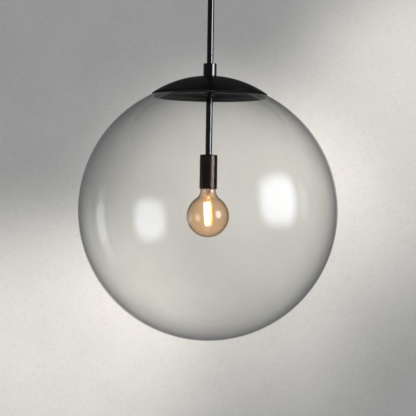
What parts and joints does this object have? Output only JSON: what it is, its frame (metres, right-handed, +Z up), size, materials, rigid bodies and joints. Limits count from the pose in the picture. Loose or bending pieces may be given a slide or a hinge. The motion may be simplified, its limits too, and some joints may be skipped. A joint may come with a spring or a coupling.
{
  "type": "pendant ceiling light",
  "caption": "Clear glass globe pendant: round ceiling canopy, hang-straight swivel, black rods, domed cap that clamps the globe, and a socket with an amber filament bulb inside.",
  "frame": {"origin": "on the lamp's axis, in the plane of the ceiling that the bracket and canopy rest against", "axes": "+Z up out of the ceiling; -Y is the side the lamp is seen from; X along the mounting bracket and the glass support bar"},
  "size_m": [0.5, 0.5, 0.7644],
  "materials": {
    "satin_black": "satin black powder coat on spun and turned steel",
    "zinc_steel": "bright zinc plate",
    "brass": "plain formed brass",
    "nickel_brass": "nickel plated brass",
    "nickel_wire": "drawn nickel wire",
    "clear_glass": "clear mouth-blown soda-lime glass",
    "amber_glass": "amber tinted blown glass",
    "mount_glass": "clear pressed glass",
    "black_rubber": "matte moulded silicone rubber",
    "phenolic": "moulded phenolic",
    "black_sheath": "extruded PVC sheath",
    "white_sheath": "white PVC and nylon",
    "green_sheath": "green extruded PVC sheath",
    "green_paint": "green painted steel",
    "phosphor": "yellow phosphor coated filament, lit"
  },
  "bodies": {
    "ceiling_mount": {"ceiling_canopy": "satin_black", "mounting_bracket": "zinc_steel", "canopy_stud_left": "zinc_steel", "canopy_stud_right": "zinc_steel", "stud_locknut_left": "zinc_steel", "stud_locknut_right": "zinc_steel", "canopy_nut_left": "satin_black", "canopy_nut_right": "satin_black", "ground_screw": "green_paint", "ground_lead": "green_sheath", "live_lead": "black_sheath", "neutral_lead": "white_sheath", "live_connector": "white_sheath", "neutral_connector": "white_sheath"},
    "swivel": {"swivel_yoke": "satin_black", "swivel_nipple": "zinc_steel", "swivel_washer": "zinc_steel", "swivel_nut": "zinc_steel", "swivel_pin": "zinc_steel", "swivel_pin_nut": "zinc_steel"},
    "stem": {"swivel_knuckle": "satin_black", "upper_rod": "satin_black", "rod_nipple": "zinc_steel", "lower_stem": "satin_black", "lamp_cable": "black_sheath", "support_bar": "satin_black", "bar_pad_left": "black_rubber", "bar_pad_right": "black_rubber", "bar_nut_lower": "satin_black", "bar_nut_upper": "satin_black", "bar_washer": "zinc_steel", "glass_globe": "clear_glass", "socket_cup": "satin_black", "socket_nipple": "zinc_steel", "socket_locknut": "zinc_steel", "socket_body": "phenolic", "screw_shell": "brass", "centre_contact": "brass"},
    "cap": {"shade_cap": "satin_black", "cap_collar": "satin_black", "collar_set_screw": "satin_black", "cap_gasket": "black_rubber"},
    "bulb": {"bulb_glass": "amber_glass", "bulb_base_shell": "nickel_brass", "bulb_base_insulator": "phenolic", "bulb_base_contact": "nickel_brass", "bulb_stem": "mount_glass", "bulb_lead_left": "nickel_wire", "bulb_lead_right": "nickel_wire", "filament_anchor_left": "nickel_wire", "filament_anchor_right": "nickel_wire", "filament_1": "phosphor", "filament_2": "phosphor", "filament_3": "phosphor", "filament_4": "phosphor"}
  },
  "joints": [
    {"name": "swivel_turn", "type": "hinge", "parent": "ceiling_mount", "child": "swivel", "pos_m": [0, 0, -0.03], "axis": [0, 0, 1], "range_deg": [-170, 170]},
    {"name": "swivel_tilt", "type": "hinge", "parent": "swivel", "child": "stem", "pos_m": [0, 0, -0.0423], "axis": [0, 1, 0], "range_deg": [-45, 45]},
    {"name": "cap_lift", "type": "slide", "parent": "stem", "child": "cap", "axis": [0, 0, 1], "range_m": [0, 0.165]},
    {"name": "bulb_out", "type": "slide", "parent": "stem", "child": "bulb", "axis": [0, 0, -1], "range_m": [0, 0.035]}
  ]
}
